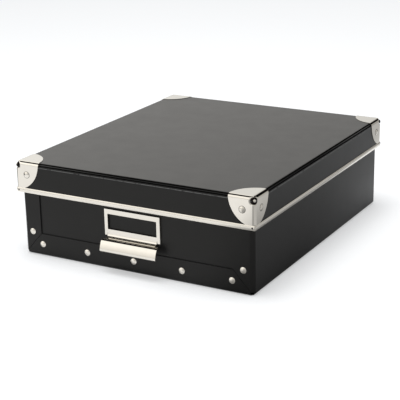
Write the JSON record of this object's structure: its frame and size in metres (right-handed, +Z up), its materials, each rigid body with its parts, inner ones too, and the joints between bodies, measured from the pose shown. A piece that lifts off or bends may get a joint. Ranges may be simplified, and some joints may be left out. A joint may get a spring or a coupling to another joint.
{
  "type": "file box",
  "caption": "Rectangular file box for papers, of folded black sheet, with a lift-off lid, metal corner protectors and edge trims, and a label holder with a finger pull.",
  "frame": {"origin": "centre of the underside of the base", "axes": "+Z up; the front, with the label holder and its pull, faces -Y; +X to the right as seen from the front"},
  "size_m": [0.2872, 0.3407, 0.1052],
  "materials": {
    "black_sheet": "satin black sheet with a fine grain",
    "nickel": "bright nickel plating, slightly warm"
  },
  "bodies": {
    "box": {"body_wrap": "black_sheet", "front_panel": "black_sheet", "back_panel": "black_sheet", "front_flap_rivets": "nickel", "front_strip_rivets": "nickel", "front_rivet_washers": "nickel", "back_flap_rivets": "nickel", "back_strip_rivets": "nickel", "back_rivet_washers": "nickel", "label_holder_pull": "nickel"},
    "lid": {"lid_sheet": "black_sheet", "front_trim": "nickel", "back_trim": "nickel", "left_trim": "nickel", "right_trim": "nickel", "front_left_protector": "nickel", "front_right_protector": "nickel", "back_left_protector": "nickel", "back_right_protector": "nickel", "front_left_rivets": "nickel", "front_right_rivets": "nickel", "back_left_rivets": "nickel", "back_right_rivets": "nickel", "lid_rivet_washers": "nickel"}
  },
  "joints": [
    {"name": "lid_lift", "type": "slide", "parent": "box", "child": "lid", "axis": [0, 0, 1], "range_m": [0, 0.12]}
  ]
}
